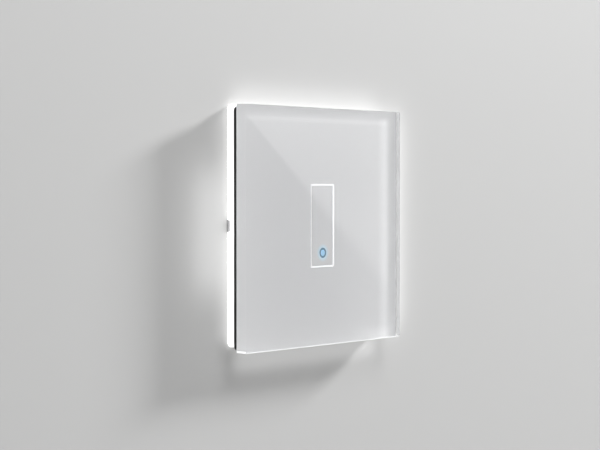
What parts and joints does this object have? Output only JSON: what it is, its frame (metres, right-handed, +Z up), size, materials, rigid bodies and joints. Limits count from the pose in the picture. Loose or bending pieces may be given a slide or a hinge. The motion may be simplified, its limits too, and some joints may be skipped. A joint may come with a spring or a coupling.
{
  "type": "smart light switch",
  "caption": "Wall-mounted touch light switch: a square glass plate on a lit opal frame, with its electronic module and terminals behind it in the wall box.",
  "frame": {"origin": "middle of the base on the plane of the wall", "axes": "+X to the right, +Y into the wall, +Z up, so the glass faces -Y"},
  "size_m": [0.086, 0.034, 0.0861],
  "materials": {
    "white_glass": "clear glass painted white on its back",
    "black_plastic": "fine matt",
    "foam_tape": "soft foam",
    "opal_plastic": "opal, lit from inside",
    "white_plastic": "moulded",
    "grey_rubber": "matt",
    "plated_steel": "zinc plated",
    "screw_steel": "zinc plated",
    "tinned_copper": "tinned",
    "brass": "plain",
    "white_board": "white solder mask",
    "green_board": "green solder mask",
    "chip_black": "moulded",
    "light_chip": "phosphor resin",
    "clear_guide": "clear moulding",
    "ribbon_film": "flexible film",
    "relay_case": "moulded",
    "coil_tape": "tape over a winding",
    "sleeve": "shrunk sleeve",
    "film_case": "moulded",
    "varistor_coat": "dipped resin",
    "fuse_coat": "dipped resin",
    "terminal_plastic": "moulded"
  },
  "bodies": {
    "base": {"light_frame": "opal_plastic", "ring_board": "white_board", "edge_led_1": "light_chip", "edge_led_2": "light_chip", "edge_led_3": "light_chip", "edge_led_4": "light_chip", "edge_led_5": "light_chip", "edge_led_6": "light_chip", "edge_led_7": "light_chip", "edge_led_8": "light_chip", "led_ribbon": "ribbon_film", "support_plate": "plated_steel", "frame_screw_1": "screw_steel", "frame_screw_2": "screw_steel", "frame_screw_3": "screw_steel", "frame_screw_4": "screw_steel", "housing_screw_1": "screw_steel", "housing_screw_2": "screw_steel", "wall_screw_1": "screw_steel", "wall_screw_2": "screw_steel", "housing": "white_plastic", "plate_grommet_1": "grey_rubber", "plate_grommet_2": "grey_rubber", "plate_grommet_3": "grey_rubber", "plate_grommet_4": "grey_rubber", "touch_board": "white_board", "touch_chip": "chip_black", "touch_spring": "tinned_copper", "light_mask": "black_plastic", "field_guide": "clear_guide", "ring_guide": "clear_guide", "status_led": "light_chip", "field_led_1": "light_chip", "field_led_2": "light_chip", "radio_module": "green_board", "radio_shield": "plated_steel", "header_socket": "chip_black", "header_plug": "chip_black", "main_board": "green_board", "board_screw": "screw_steel", "relay": "relay_case", "transformer": "coil_tape", "capacitor_1": "sleeve", "capacitor_2": "sleeve", "film_capacitor": "film_case", "varistor": "varistor_coat", "fuse": "fuse_coat", "terminal_block": "terminal_plastic", "contact_1": "tinned_copper", "contact_2": "tinned_copper", "contact_3": "tinned_copper"},
    "plate": {"glass_panel": "white_glass", "adhesive_frame": "foam_tape", "plate_carrier": "black_plastic"},
    "screw_1": {"terminal_screw_1": "screw_steel"},
    "screw_2": {"terminal_screw_2": "screw_steel"},
    "screw_3": {"terminal_screw_3": "screw_steel"},
    "clamp_1": {"wire_clamp_1": "brass"},
    "clamp_2": {"wire_clamp_2": "brass"},
    "clamp_3": {"wire_clamp_3": "brass"}
  },
  "joints": [
    {"name": "plate_pull", "type": "slide", "parent": "base", "child": "plate", "axis": [0, -1, 0], "range_m": [0, 0.03]},
    {"name": "screw_turn_1", "type": "hinge", "parent": "base", "child": "screw_1", "pos_m": [-0.0076, 0.0223, -0.0176], "axis": [0, -1, 0], "range_deg": [0, 1440]},
    {"name": "screw_turn_2", "type": "hinge", "parent": "base", "child": "screw_2", "pos_m": [0, 0.0223, -0.0176], "axis": [0, -1, 0], "range_deg": [0, 1440]},
    {"name": "screw_turn_3", "type": "hinge", "parent": "base", "child": "screw_3", "pos_m": [0.0076, 0.0223, -0.0176], "axis": [0, -1, 0], "range_deg": [0, 1440]},
    {"name": "clamp_rise_1", "type": "slide", "parent": "base", "child": "clamp_1", "axis": [0, 1, 0], "range_m": [0, 0.002]},
    {"name": "clamp_rise_2", "type": "slide", "parent": "base", "child": "clamp_2", "axis": [0, 1, 0], "range_m": [0, 0.002]},
    {"name": "clamp_rise_3", "type": "slide", "parent": "base", "child": "clamp_3", "axis": [0, 1, 0], "range_m": [0, 0.002]}
  ],
  "couplings": [
    {"joint": "screw_turn_1", "follows": "clamp_rise_1", "rad_per_m": 12566},
    {"joint": "screw_turn_2", "follows": "clamp_rise_2", "rad_per_m": 12566},
    {"joint": "screw_turn_3", "follows": "clamp_rise_3", "rad_per_m": 12566}
  ]
}
